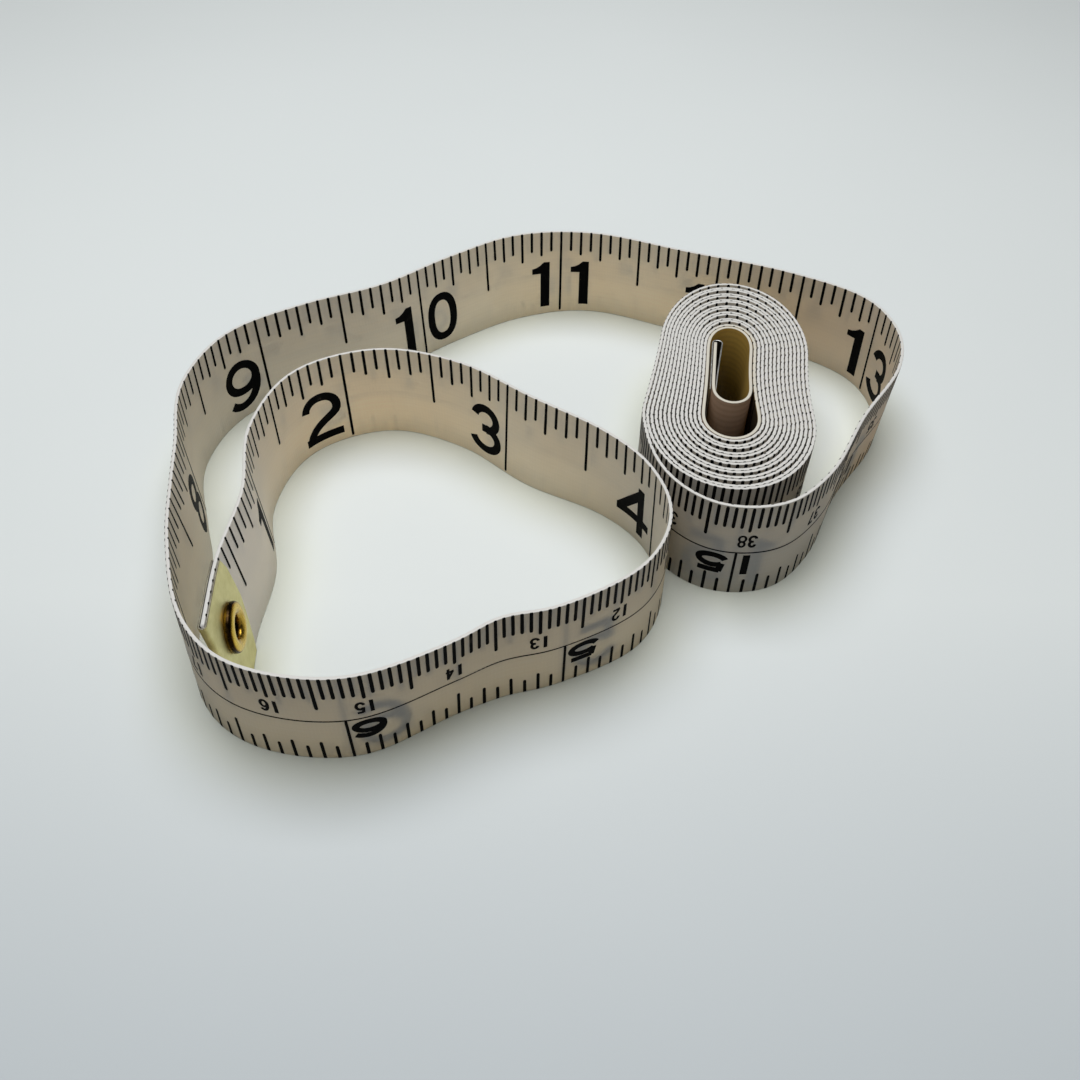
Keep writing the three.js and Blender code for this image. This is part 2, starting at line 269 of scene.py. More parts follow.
def winding_place(step):
    """A point of the wound turns, counted outwards from the front of the first right side."""
    turns = step / TURN_STEPS
    place = step % TURN_STEPS
    if place < SIDE_STEPS:
        part = place / SIDE_STEPS
        half = (1 - part) * reach(RIGHT_FRONT, turns) + part * reach(RIGHT_BACK, turns)
        return coil_place(half - RIGHT_WAIST * math.sin(math.pi * part), part * CORE_LENGTH)
    place -= SIDE_STEPS
    if place < ARC_STEPS:
        angle = math.pi * place / ARC_STEPS
        side = LEFT_BACK if angle > math.pi / 2 else RIGHT_BACK
        depth = reach(BACK_DEPTH, turns) + slack(turns - BACK_TURN, BACK_SLACK)
        return coil_place(reach(side, turns) * math.cos(angle), CORE_LENGTH + depth * math.sin(angle))
    place -= ARC_STEPS
    if place < SIDE_STEPS:
        part = place / SIDE_STEPS
        half = (1 - part) * reach(LEFT_BACK, turns) + part * reach(LEFT_FRONT, turns)
        return coil_place(LEFT_WAIST * math.sin(math.pi * part) - half, (1 - part) * CORE_LENGTH)
    place -= SIDE_STEPS
    angle = math.pi * place / ARC_STEPS
    side = RIGHT_FRONT if angle > math.pi / 2 else LEFT_FRONT
    depth = reach(FRONT_DEPTH, turns) + slack(turns - FRONT_TURN, FRONT_SLACK)
    return coil_place(-reach(side, turns) * math.cos(angle), -depth * math.sin(angle))


def strip_line():
    """The strip's middle line from zero to its inner end, as x, y and lean, in even steps."""
    last = TURNS * TURN_STEPS + 2 * SIDE_STEPS + ARC_STEPS
    wound = [winding_place(step) for step in range(last, -1, -1)]
    part = HAIRPIN_PLACE / CORE_LENGTH
    right = (1 - part) * RIGHT_FRONT[0] + part * RIGHT_BACK[0] - RIGHT_WAIST * math.sin(math.pi * part)
    hairpin = []
    for k in range(ARC_STEPS + 1):
        angle = math.pi * k / ARC_STEPS
        middle = (right - INNER_REACH) / 2
        half = (right + INNER_REACH) / 2
        across = middle + half * math.cos(angle)
        hairpin.append(coil_place(across, HAIRPIN_PLACE - HAIRPIN_DEPTH * math.sin(angle)))
    tail = []
    for k in range(1, TAIL_STEPS + 1):
        across = -INNER_REACH + (INNER_REACH - INNER_END_REACH) * k / TAIL_STEPS
        tail.append(coil_place(across, HAIRPIN_PLACE + (INNER_END - HAIRPIN_PLACE) * k / TAIL_STEPS))
    first_side = [p for k, p in enumerate(wound) if k < last - part * SIDE_STEPS]
    leading = ROUTE + wound[:1] + wound[SIDE_STEPS:SIDE_STEPS + 1]
    free = curve(leading, ROUTE_STEPS)[:-ROUTE_STEPS]
    line = np.concatenate([free[:-1], np.array(first_side + hairpin + tail)])
    line = softened(evenly(line, STEP), SOFTENED_STEPS)
    return evenly(line, STEP)


line = strip_line()
LENGTH = (len(line) - 1) * STEP
middle = line[:, :2]
heading = np.gradient(middle, axis=0)
heading /= np.linalg.norm(heading, axis=1)[:, None]
leftward = np.stack([-heading[:, 1], heading[:, 0]], axis=1)
lean = line[:, 2]


def on_strip(s, z, out):
    """The point at s along the strip and z up it, so far out to the left of its middle sheet."""
    place = min(max(s / STEP, 0), len(line) - 1.001)
    k = int(place)
    part = place - k
    xy = (1 - part) * middle[k] + part * middle[k + 1]
    left = (1 - part) * leftward[k] + part * leftward[k + 1]
    off = out + ((1 - part) * lean[k] + part * lean[k + 1]) * (1 - z / WIDTH)
    return (xy[0] + left[0] * off, xy[1] + left[1] * off, z)


def printed(s):
    """How far along the strip a printed measure lies."""
    return s - float(np.interp(s, *zip(*PRINT_LAG)))


def make_piece(name, points, faces, material, smooth=True):
    """A mesh object in metres from points in millimetres."""
    mesh = bpy.data.meshes.new(name)
    mesh.from_pydata([(x * MM, y * MM, z * MM) for x, y, z in points], [], faces)
    mesh.validate()
    mesh.update()
    obj = bpy.data.objects.new(name, mesh)
    bpy.context.scene.collection.objects.link(obj)
    mesh.materials.append(material)
    mesh.polygons.foreach_set("use_smooth", [smooth] * len(mesh.polygons))
    return obj


def give_uv(obj, pairs, name="along_and_up"):
    """Lays the mesh out by a pair for each point, such as its place along and up the strip."""
    layer = obj.data.uv_layers.new(name=name)
    for loop in obj.data.loops:
        layer.data[loop.index].uv = pairs[loop.vertex_index]


def face_outwards(obj):
    """Turns the faces of a closed mesh outwards."""
    fix = bmesh.new()
    fix.from_mesh(obj.data)
    bmesh.ops.recalc_face_normals(fix, faces=fix.faces)
    fix.to_mesh(obj.data)
    fix.free()
    return obj


def swept_faces(rings, count, base=0):
    """The faces of a closed bar through so many rings of points: its sides, then its two ends."""
    last = base + (rings - 1) * count
    faces = []
    for here in range(base, last, count):
        for m in range(count):
            n = (m + 1) % count
            faces.append([here + m, here + n, here + count + n, here + count + m])
    faces.append([base + m for m in reversed(range(count))])
    faces.append([last + m for m in range(count)])
    return faces


def slab_faces(triangles):
    """The corners that flat triangles use, and the faces of a closed slab on them: top, bottom and rim."""
    used = sorted({k for triangle in triangles for k in triangle})
    number = {k: i for i, k in enumerate(used)}
    count = len(used)
    faces = []
    edges = {}
    for triangle in triangles:
        a, b, c = [number[k] for k in triangle]
        faces.append([a, b, c])
        faces.append([count + c, count + b, count + a])
        for pair in ((a, b), (b, c), (c, a)):
            edges[pair] = True
    for a, b in edges:
        if (b, a) not in edges:
            faces.append([b, a, count + a, count + b])
    return used, faces


def run_over(s, face):
    """How far a mark's ink has crept over the upper edge there, most unevenly in the coil."""
    wave = math.sin(s / 17 + 2 * face) + math.sin(5.3 * s + face)
    creep = max(CREEP + (CREEP_VARIES if s < COIL_FROM else COIL_CREEP_VARIES) * wave, 0)
    return creep if face == FACE_A else FACE_B_CREEP * creep


def top_of_marks(s, face):
    """How far up the strip a mark goes there."""
    clean = any(low < s < high for low, high in CLEAN_RUNS[face])
    return WIDTH - CLEAN_EDGE if clean else WIDTH


def tick_size(k, sizes):
    """The stroke and length of the tick after k steps of its scale."""
    return next((stroke, length) for every, stroke, length in sizes if k % every == 0)


class Slabs:
    """Thin closed slabs of ink that lie on the strip's faces."""

    def __init__(self):
        self.points = []
        self.faces = []
        self.places = []

    def add(self, s, z, out):
        self.points.append(on_strip(s, z, out))
        self.places.append((s, z))

    def tick(self, s, width, low, high, face):
        """A straight mark up the strip; where it meets an edge of the strip it runs over it a little."""
        under = HALF_THICKNESS - INK_SINK
        over = HALF_THICKNESS + INK_HEIGHT
        half = width / 2
        profile = [(low + TICK_ROUND, under), (low, under), (low, over), (low + TICK_ROUND, over)]
        if low == 0:
            profile = [(CORNER, under - CORNER), (CORNER - INK_HEIGHT, over - CORNER), (EDGE_ROUND, over)]
        if high == WIDTH:
            crest = WIDTH + INK_HEIGHT / 2
            inward = over - EDGE_ROUND - run_over(s, face)
            profile += [(WIDTH - EDGE_ROUND, over), (crest - CORNER, over - CORNER),
                        (crest, over - EDGE_ROUND), (crest, inward),
                        (WIDTH - INK_SINK, inward), (WIDTH - EDGE_ROUND, under - CORNER)]
        else:
            profile += [(high - TICK_ROUND, over), (high, over), (high, under), (high - TICK_ROUND, under)]
        self.faces += swept_faces(2, len(profile), len(self.points))
        for side in (-1, 1):
            for z, out in profile:
                narrower = 0
                if z in (low, high):
                    narrower = FREE_END_NARROWS * half
                elif z > WIDTH - EDGE_ROUND:
                    narrower = OVER_EDGE_NARROWS * half
                self.add(s + side * (half - narrower), z, face * out)

    def line(self, start, end, low, high, face):
        """A thin line that runs along the strip."""
        steps = range(math.floor(start / STEP) + 1, math.ceil(end / STEP))
        places = [start] + [k * STEP for k in steps] + [end]
        section = ((low, -INK_SINK), (low, INK_HEIGHT), (high, INK_HEIGHT), (high, -INK_SINK))
        self.faces += swept_faces(len(places), len(section), len(self.points))
        for s in places:
            for z, out in section:
                self.add(s, z, face * (HALF_THICKNESS + out))

    def figure(self, outlines, s, z, face, turned):
        """A flat shape made of overlapping outlines, with its lower left corner at s, z on that face."""
        xs = [x for outline in outlines for x, y in outline]
        ys = [y for outline in outlines for x, y in outline]
        low = min(ys) - CUT_MARGIN
        high = max(ys) + CUT_MARGIN
        corners = []
        loops = []
        for outline in outlines:
            area = sum(a[0] * b[1] - b[0] * a[1] for a, b in zip(outline, outline[1:] + outline[:1]))
            ordered = outline if area > 0 else outline[::-1]
            loops.append(list(range(len(corners), len(corners) + len(ordered))))
            corners += [Vector(p) for p in ordered]
        cuts = []
        first = math.floor((s + min(xs)) / STEP) + 1
        while first * STEP < s + max(xs):
            x = first * STEP - s
            cuts.append((len(corners), len(corners) + 1))
            corners += [Vector((x, low)), Vector((x, high))]
            first += 1
        found = delaunay_2d_cdt(corners, cuts, loops, 0, WELD, True)
        places = found[0]
        inside = [triangle for triangle, origin in zip(found[2], found[5]) if origin]
        used, faces = slab_faces(inside)
        base = len(self.points)
        for out in (HALF_THICKNESS + INK_HEIGHT, HALF_THICKNESS - INK_SINK):
            for k in used:
                self.add(s + places[k].x, z + turned * places[k].y, face * out)
        self.faces += [[base + k for k in polygon] for polygon in faces]

    def finish(self, name, material):
        obj = make_piece(name, self.points, self.faces, material, smooth=False)
        give_uv(obj, self.places)
        return face_outwards(obj)


def arc(cx, cy, rx, ry, start, end, power=1.0):
    """Points of an ellipse's arc, in degrees; a power below 1 makes it squarer."""
    count = max(4, int(abs(end - start) / ARC_DEGREES))
    out = []
    for k in range(count + 1):
        a = math.radians(start + (end - start) * k / count)
        c = math.copysign(abs(math.cos(a)) ** power, math.cos(a))
        d = math.copysign(abs(math.sin(a)) ** power, math.sin(a))
        out.append((cx + rx * c, cy + ry * d))
    return out


def bent(a, b, c, d, count=8):
    """Points of a cubic curve between a and d."""
    out = []
    for k in range(1, count + 1):
        t = k / count
        u = 1 - t
        weights = (u ** 3, 3 * u * u * t, 3 * u * t * t, t ** 3)
        out.append(tuple(sum(w * p[i] for w, p in zip(weights, (a, b, c, d))) for i in (0, 1)))
    return out


def digit_strokes(digit):
    """The middle lines of a digit's strokes in a unit square; a one is drawn elsewhere."""
    if digit == "0":
        return [arc(0.5, 0.5, 0.5, 0.5, 0, 360, 0.86)]
    if digit == "2":
        top = arc(0.5, 0.7, 0.5, 0.3, 172, -12, 0.92)
        neck = bent(top[-1], (0.93, 0.43), (0.2, 0.38), (0.02, 0.0))
        return [top + neck, [(-0.12, 0.0), (1.1, 0.0)]]
    if digit == "3":
        upper = arc(0.46, 0.745, 0.46, 0.255, 168, -88)
        lower = arc(0.46, 0.265, 0.54, 0.265, 88, -170)
        return [upper, lower, [(0.3, 0.515), (0.52, 0.515)]]
    if digit == "4":
        return [[(0.74, -0.5), (0.74, 1.5)], [(0.78, 1.0), (0.0, 0.3)], [(-0.1, 0.28), (1.1, 0.28)]]
    if digit == "5":
        bowl = arc(0.46, 0.33, 0.54, 0.33, 140, -165)
        return [[(0.1, 1.0), (0.98, 1.0)], [(0.14, 1.05), (0.05, 0.5)], bowl]
    if digit == "6":
        return [arc(0.5, 0.32, 0.5, 0.32, 0, 360), arc(0.62, 0.42, 0.62, 0.58, 190, 48)]
    if digit == "7":
        return [[(-0.1, 1.0), (1.06, 1.0)], [(0.97, 1.02), (0.62, 0.45), (0.4, -0.5)]]
    if digit == "8":
        return [arc(0.5, 0.76, 0.43, 0.24, 0, 360), arc(0.5, 0.265, 0.5, 0.265, 0, 360)]
    return [arc(0.5, 0.68, 0.5, 0.32, 0, 360), arc(0.38, 0.58, 0.62, 0.58, 10, -132)]


def stroke_outlines(points, stroke, height):
    """Four-cornered pieces that cover a stroke of that width, cut off at the figure's top and bottom."""
    count = len(points)
    closed = math.dist(points[0], points[-1]) < 1e-6
    left = []
    right = []
    for k in range(count):
        before = points[k - 1] if k else (points[-2] if closed else points[0])
        after = points[k + 1] if k < count - 1 else (points[1] if closed else points[-1])
        first = Vector((points[k][0] - before[0], points[k][1] - before[1]))
        second = Vector((after[0] - points[k][0], after[1] - points[k][1]))
        first = (first if first.length else second).normalized()
        second = (second if second.length else first).normalized()
        along = (first + second).normalized()
        wide = stroke / 2 / max(along.dot(second), 0.5)
        turn = first.cross(second)
        # A ring's inner side stays short of the middle of its bend, so that the pieces don't fold over.
        bend = 0.9 * math.dist(before, points[k]) / max(abs(turn), 1e-6)
        inner = min(wide, bend) if closed else wide
        to_left = inner if turn > 0 else wide
        to_right = inner if turn < 0 else wide
        side = Vector((-along.y, along.x))
        left.append((points[k][0] + side.x * to_left, points[k][1] + side.y * to_left))
        right.append((points[k][0] - side.x * to_right, points[k][1] - side.y * to_right))
    quads = [[left[k], right[k], right[k + 1], left[k + 1]] for k in range(count - 1)]
    return [[(x, min(max(y, 0), height)) for x, y in quad] for quad in quads]


def digit_outlines(digit, width, height, stroke):
    """The outlines of a digit's strokes at that size."""
    outlines = []
    for points in digit_strokes(digit):
        placed = []
        for x, y in points:
            placed.append((stroke / 2 + x * (width - stroke), stroke / 2 + y * (height - stroke)))
        outlines += stroke_outlines(placed, stroke, height)
    return outlines


def flagged_one(bar, flag, height):
    """A one whose bar has a short flag at its upper left."""
    left = flag
    right = flag + bar
    low = 0.755 * height
    return [[(left, 0), (right, 0), (right, height), (left + 0.35 * bar, height),
             (0.9 * flag, 0.925 * height), (0.45 * flag, 0.885 * height),
             (0, 0.87 * height), (0, low), (left, low)]]


def put_large_digit(slabs, digit, s, ends_here):
    """A digit of face A's inch scale, with its right or left edge at s."""
    if digit == "1":
        outlines = flagged_one(ONE_BAR, ONE_FLAG, LARGE_HEIGHT)
        width = ONE_BAR + ONE_FLAG
    else:
        width = LARGE_WIDTHS[digit]
        outlines = digit_outlines(digit, width, LARGE_HEIGHT, LARGE_STROKE)
    slabs.figure(outlines, s - width if ends_here else s, LARGE_BASE, FACE_A, 1)


def face_a_scale(material):
    """Inches with large digits on either side of each inch line."""
    ticks = Slabs()
    figures = Slabs()
    for k in range(1, PRINTED_INCHES * SIXTEENTHS + 1):
        s = printed(k * INCH / SIXTEENTHS)
        stroke, length = tick_size(k, INCH_TICKS_A)
        ticks.tick(s, stroke, WIDTH - length, top_of_marks(s, FACE_A), FACE_A)
    for inch in range(1, PRINTED_INCHES + 1):
        s = printed(inch * INCH)
        first, *rest = str(inch)
        gap = ONE_GAP_BEFORE if rest and first == "1" else LARGE_GAP
        put_large_digit(figures, first, s - gap, True)
        for digit in rest:
            put_large_digit(figures, digit, s + (ONE_GAP_AFTER if digit == "1" else LARGE_GAP), False)
    return [ticks.finish("scale_inches_large_ticks", material),
            figures.finish("scale_inches_large_figures", material)]


def put_turned_digit(slabs, digit, s, z, width, height, stroke, bar):
    """A digit that stands on its head for face B; s is its edge nearest zero."""
    if digit == "1":
        outlines = [[(0, 0), (bar, 0), (bar, height), (0, height)]]
    else:
        thin = EIGHT_STROKE if digit == "8" else 1
        outlines = digit_outlines(digit, width, height, thin * stroke)
    slabs.figure(outlines, s, z, FACE_B, -1)


def room(digit, widths):
    """How wide a digit counts when it is put in its place."""
    return widths[0] if digit == "1" else widths[1]


def face_b_scale(material):
    """Millimetres at the upper edge and inches at the lower one, on either side of a line."""
    ticks = Slabs()
    figures = Slabs()
    for k in range(1, int(PRINTED_INCHES * INCH) + 1):
        stroke, length = tick_size(k, MILLIMETRE_TICKS)
        ticks.tick(printed(k), stroke, WIDTH - length, top_of_marks(printed(k), FACE_B), FACE_B)
    for k in range(1, PRINTED_INCHES * SIXTEENTHS + 1):
        stroke, length = tick_size(k, INCH_TICKS_B)
        ticks.tick(printed(k * INCH / SIXTEENTHS), stroke, 0, length, FACE_B)
    ticks.line(MIDDLE_LINE_FROM, printed(PRINTED_INCHES * INCH), *MIDDLE_LINE, FACE_B)
    for centimetre in range(FIRST_CENTIMETRE, int(PRINTED_INCHES * INCH / 10) + 1):
        text = str(centimetre)
        for k, digit in enumerate(text):
            middle_s = printed(centimetre * 10) + (k - (len(text) - 1) / 2) * CENTIMETRE_PITCH
            put_turned_digit(figures, digit, middle_s - room(digit, CENTIMETRE_ROOM) / 2, **CENTIMETRE_DIGIT)
    for inch in range(1, PRINTED_INCHES + 1):
        s = printed(inch * INCH)
        first, *rest = str(inch)
        gap = INCH_GAP_BEFORE if rest else INCH_GAP_ALONE
        put_turned_digit(figures, first, s - gap - room(first, INCH_ROOM), **INCH_DIGIT)
        for digit in rest:
            put_turned_digit(figures, digit, s + INCH_GAP_AFTER, **INCH_DIGIT)
    return [ticks.finish("scale_metric_ticks", material), figures.finish("scale_metric_figures", material)]


def strip_piece(material):
    """The strip as one closed ribbon with rounded edges."""
    half = HALF_THICKNESS
    edge = EDGE_ROUND
    section = [(half, edge), (half, WIDTH - edge), (half - CORNER, WIDTH - CORNER), (half - edge, WIDTH),
               (edge - half, WIDTH), (CORNER - half, WIDTH - CORNER), (-half, WIDTH - edge), (-half, edge),
               (CORNER - half, CORNER), (edge - half, 0), (half - edge, 0), (half - CORNER, CORNER)]
    points = []
    places = []
    sides = []
    for k in range(len(line)):
        for out, z in section:
            off = out + lean[k] * (1 - z / WIDTH)
            points.append((middle[k][0] + leftward[k][0] * off, middle[k][1] + leftward[k][1] * off, z))
            places.append((k * STEP, z))
            sides.append((1.0 if out > 0 else 0.0, 0.0))
    obj = make_piece("strip", points, swept_faces(len(line), len(section)), material)
    give_uv(obj, places)
    give_uv(obj, sides, "face")
    return face_outwards(obj)


def hole(cx, cy):
    """The eyelet's hole as a ring of points."""
    turns = [2 * math.pi * k / HOLE_SIDES for k in range(HOLE_SIDES)]
    return [Vector((cx + EYELET_HOLE * math.cos(a), cy + EYELET_HOLE * math.sin(a))) for a in turns]


def tip_layout(fold, free_edge, length, at_zero):
    """A tip's flat sheet, cut across where it bends: its corners and its triangles, with holes at zero."""
    outline = [Vector((far + fold / 2, height)) for height, far in free_edge]
    outline += [Vector((-far - fold / 2, height)) for height, far in reversed(free_edge)]
    loops = [list(range(len(outline)))]
    for side in (-1, 1) if at_zero else ():
        start = len(outline)
        outline += hole(side * (EYELET_PLACE + fold / 2), EYELET_UP)
        loops.append(list(range(start, len(outline))))
    places = [k * fold / FOLD_CUTS for k in range(-FOLD_CUTS // 2, FOLD_CUTS // 2 + 1)]
    places += [side * (fold / 2 + k) for k in range(1, int(length)) for side in (-1, 1)]
    cuts = []
    for x in places:
        cuts.append((len(outline), len(outline) + 1))
        outline += [Vector((x, 0)), Vector((x, WIDTH))]
    found = delaunay_2d_cdt(outline, cuts, loops, 0, WELD, True)
    return found[0], [triangle for triangle, origin in zip(found[2], found[5]) if list(origin) == [0]]


def tip_piece(name, materials, free_edge, at_zero, spread):
    """A thin sheet folded round an end of the strip; its flat layout is bent over the end.

    The fold can stand open by a spread on the right of the strip, down to nothing at the free edge. The
    materials are for the sheet's outer side, its inner side and its cut edges.
    """
    inner = HALF_THICKNESS + SHEET_GAP
    fold = math.pi * (inner + SHEET / 2 + spread / 2)
    length = max(far for height, far in free_edge)
    flat, triangles = tip_layout(fold, free_edge, length, at_zero)

    def bent_place(x, z, depth):
        out = inner + depth
        if abs(x) > fold / 2:
            s = abs(x) - fold / 2
            off = out if x > 0 else -out - spread * (1 - s / length) ** SPREAD_POWER
            return on_strip(s if at_zero else LENGTH - s, z, off)
        angle = x / fold * math.pi
        round_out = out + spread / 2
        base = on_strip(0 if at_zero else LENGTH, z, round_out * math.sin(angle) - spread / 2)
        ahead = (-heading[0] if at_zero else heading[-1]) * round_out * math.cos(angle)
        return (base[0] + ahead[0], base[1] + ahead[1], z)

    used, faces = slab_faces(triangles)
    count = len(used)
    points = [bent_place(flat[k].x, flat[k].y, depth) for depth in (SHEET, 0) for k in used]
    obj = make_piece(name, points, faces, materials[0])
    obj.data.materials.append(materials[1])
    obj.data.materials.append(materials[2])
    for face in obj.data.polygons:
        inner_corners = sum(k >= count for k in face.vertices)
        face.material_index = 0 if inner_corners == 0 else 1 if inner_corners == len(face.vertices) else 2
    give_uv(obj, [(flat[k].x, flat[k].y) for k in used] * 2)
    face_outwards(obj)
    bevel = obj.modifiers.new("soft edges", "BEVEL")
    bevel.width = 0.05 * MM
    bevel.segments = 2
    bevel.limit_method = "ANGLE"
    bevel.angle_limit = math.radians(50)
    obj.data.set_sharp_from_angle(angle=math.radians(40))
    return obj


def eyelet_axes():
    """The eyelet's middle on the strip, and the directions along and up the strip and out of face A."""
    foot = Vector(on_strip(EYELET_PLACE, 0, 0))
    head = Vector(on_strip(EYELET_PLACE, WIDTH, 0))
    upward = (head - foot).normalized()
    k = int(EYELET_PLACE / STEP)
    out_a = Vector((heading[k][0], heading[k][1], 0)).cross(upward).normalized()
    return foot.lerp(head, EYELET_UP / WIDTH), upward.cross(out_a), upward, out_a


def eyelet_piece(material):
    """A rolled eyelet: a barrel with a round lip on face A and a lower rolled rim on face B.

    Its profile is a ring of radii, places out of face A, and how dark the brass is painted there as shade
    and reflection.
    """
    seat = HALF_THICKNESS + SHEET_GAP + SHEET
    lip = arc(2.14, seat + 0.42, 0.82, 0.6, 0, 170)
    profile = [(2.86, seat + 0.02, 0.45), (2.94, seat + 0.2, 0.6)]
    profile += [(r, out, dark) for (r, out), dark in zip(lip, LIP_PAINTED_SHADE)]
    profile += [(1.30, seat + 0.25, 0.85), (1.26, seat, 0.95), (1.25, -seat, 1.0)]
    profile += [(r, out, 0.2) for r, out in arc(1.98, -seat - 0.16, 0.5, 0.34, 190, 400)]
    profile += [(1.72, -seat + 0.02, 0.5), (1.72, seat - 0.02, 0.5)]
    centre, along, upward, out_a = eyelet_axes()
    points = []
    for m in range(EYELET_SIDES):
        a = 2 * math.pi * m / EYELET_SIDES
        radial = along * math.cos(a) + upward * math.sin(a)
        for radius, out, dark in profile:
            points.append(tuple(centre + radial * radius + out_a * out))
    count = len(profile)
    faces = []
    for m in range(EYELET_SIDES):
        n = (m + 1) % EYELET_SIDES
        for j in range(count):
            i = (j + 1) % count
            faces.append([m * count + j, m * count + i, n * count + i, n * count + j])
    obj = make_piece("eyelet", points, faces, material)
    give_uv(obj, [(m / EYELET_SIDES, dark) for m in range(EYELET_SIDES) for radius, out, dark in profile])
    return face_outwards(obj)


def open_eyelet_hole(strip):
    """Cuts the eyelet's hole through the strip."""
    centre, along, upward, out_a = eyelet_axes()
    bpy.ops.mesh.primitive_cylinder_add(
        vertices=HOLE_SIDES, radius=EYELET_HOLE * MM, depth=3 * MM, location=centre * MM)
    drill = bpy.context.object
    drill.rotation_mode = "QUATERNION"
    drill.rotation_quaternion = out_a.to_track_quat("Z", "Y")
    bpy.context.view_layer.update()
    cut = strip.modifiers.new("eyelet hole", "BOOLEAN")
    cut.operation = "DIFFERENCE"
    cut.solver = "EXACT"
    cut.object = drill
    bpy.context.view_layer.update()
    shaped = bpy.data.meshes.new_from_object(strip.evaluated_get(bpy.context.evaluated_depsgraph_get()))
    strip.modifiers.clear()
    strip.data = shaped
    bpy.data.objects.remove(drill)


def feed(tree, made, inputs):
    """Gives a node's sockets plain values, colours or other nodes' outputs."""
    for key, value in inputs.items():
        socket = made.inputs[key]
        if isinstance(value, bpy.types.NodeSocket):
            tree.links.new(value, socket)
        elif socket.type == "RGBA":
            socket.default_value = (*value, 1)
        else:
            socket.default_value = value
    return made


def node(tree, kind, inputs, **settings):
    """A new node with those settings and inputs."""
    made = tree.nodes.new(kind)
    for key, value in settings.items():
        setattr(made, key, value)
    return feed(tree, made, inputs)


def new_material(name):
    """A material, its node tree and its main shader."""
    material = bpy.data.materials.new(name)
    material.use_nodes = True
    tree = material.node_tree
    return material, tree, tree.nodes["Principled BSDF"]


def laid_out(tree, name="along_and_up"):
    """The places that give_uv laid out."""
    return node(tree, "ShaderNodeUVMap", {}, uv_map=name).outputs["UV"]


def split(tree, vector):
    """The vector's parts, by their axes' names."""
    return node(tree, "ShaderNodeSeparateXYZ", {0: vector}).outputs


def scaled(tree, vector, scale):
    return node(tree, "ShaderNodeMapping", {"Vector": vector, "Scale": scale}).outputs["Vector"]


def bands(tree, vector, direction, scale, distortion, detail_scale=1.0):
    """Soft wavy bands across a direction."""
    inputs = {"Vector": vector, "Scale": scale, "Distortion": distortion, "Detail Scale": detail_scale}
    made = node(tree, "ShaderNodeTexWave", inputs, wave_type="BANDS", bands_direction=direction)
    return made.outputs["Fac"]


def noise(tree, vector, scale, detail=3.0, roughness=0.5):
    inputs = {"Vector": vector, "Scale": scale, "Detail": detail, "Roughness": roughness}
    return node(tree, "ShaderNodeTexNoise", inputs).outputs["Fac"]


def ramp(tree, value, stops):
    """A colour ramp over a value; stops are places and colours."""
    made = node(tree, "ShaderNodeValToRGB", {"Fac": value})
    elements = made.color_ramp.elements
    while len(elements) < len(stops):
        elements.new(0.5)
    for element, (place, colour) in zip(elements, stops):
        element.position = place
        element.color = (*colour, 1)
    return made.outputs["Color"]


def levels(tree, value, low, high, to_low, to_high):
    """The value's range from low to high, moved to another range."""
    inputs = {"Value": value, "From Min": low, "From Max": high, "To Min": to_low, "To Max": to_high}
    return node(tree, "ShaderNodeMapRange", inputs).outputs["Result"]


def maths(tree, kind, a, b):
    return node(tree, "ShaderNodeMath", {0: a, 1: b}, operation=kind).outputs[0]


def blend_colours(tree, factor, first, second, kind="MIX"):
    """The second colour over the first; the node takes its factor and colours at sockets 0, 6 and 7."""
    inputs = {0: factor, 6: first, 7: second}
    return node(tree, "ShaderNodeMix", inputs, data_type="RGBA", blend_type=kind).outputs[2]


def bump(tree, height, strength):
    """A normal that shows small heights."""
    inputs = {"Height": height, "Strength": strength, "Distance": BUMP_DEPTH}
    return node(tree, "ShaderNodeBump", inputs).outputs["Normal"]


def printed_tone(tree, uv, along, height_up, weave, threads):
    """The printed cloth: cream to yellow along its first length, painted lighter and darker along it, darker
    up its width as painted shade, finely streaked.
    """
    stains = noise(tree, uv, 0.07, 4.0, 0.55)
    streaks = noise(tree, scaled(tree, uv, (0.25, 2.2, 1)), 1.0, 4.0, 0.6)
    first_length = levels(tree, along, 0.0, TONED_LENGTH, 0.0, 1.0)
    clean = ramp(tree, stains, [(0.3, (0.93, 0.895, 0.825)), (0.7, (0.96, 0.93, 0.87))])
    yellowed = ramp(tree, stains, [(0.3, (1.0, 0.885, 0.70)), (0.7, (1.0, 0.92, 0.765))])
    aged = ramp(tree, first_length, [(place, (share, share, share)) for place, share in AGED])
    tone = blend_colours(tree, aged, clean, yellowed)
    # Painted light and shade, stretch by stretch along the first length.
    tone = blend_colours(tree, 1.0, tone, ramp(tree, first_length, LIGHT_AND_SHADE_ALONG), "MULTIPLY")
    # Painted shade: darker towards the upper edge.
    tone = blend_colours(tree, levels(tree, height_up, 0.4, 0.95, 0.0, 0.36), tone, (0.70, 0.65, 0.56))
    tone = blend_colours(tree, levels(tree, streaks, 0.35, 0.7, 0.0, 0.22), tone, (0.93, 0.82, 0.66))
    tone = blend_colours(tree, levels(tree, weave, 0.0, 2.0, 0.1, 0.0), tone, (0.72, 0.66, 0.55))
    tone = blend_colours(tree, levels(tree, threads, 0.2, 1.0, 0.0, 0.03), tone, (0.62, 0.53, 0.41))
    near_tip = levels(tree, along, 10.0, 34.0, 0.8, 0.0)
    return blend_colours(tree, near_tip, tone, (0.985, 0.965, 0.95))


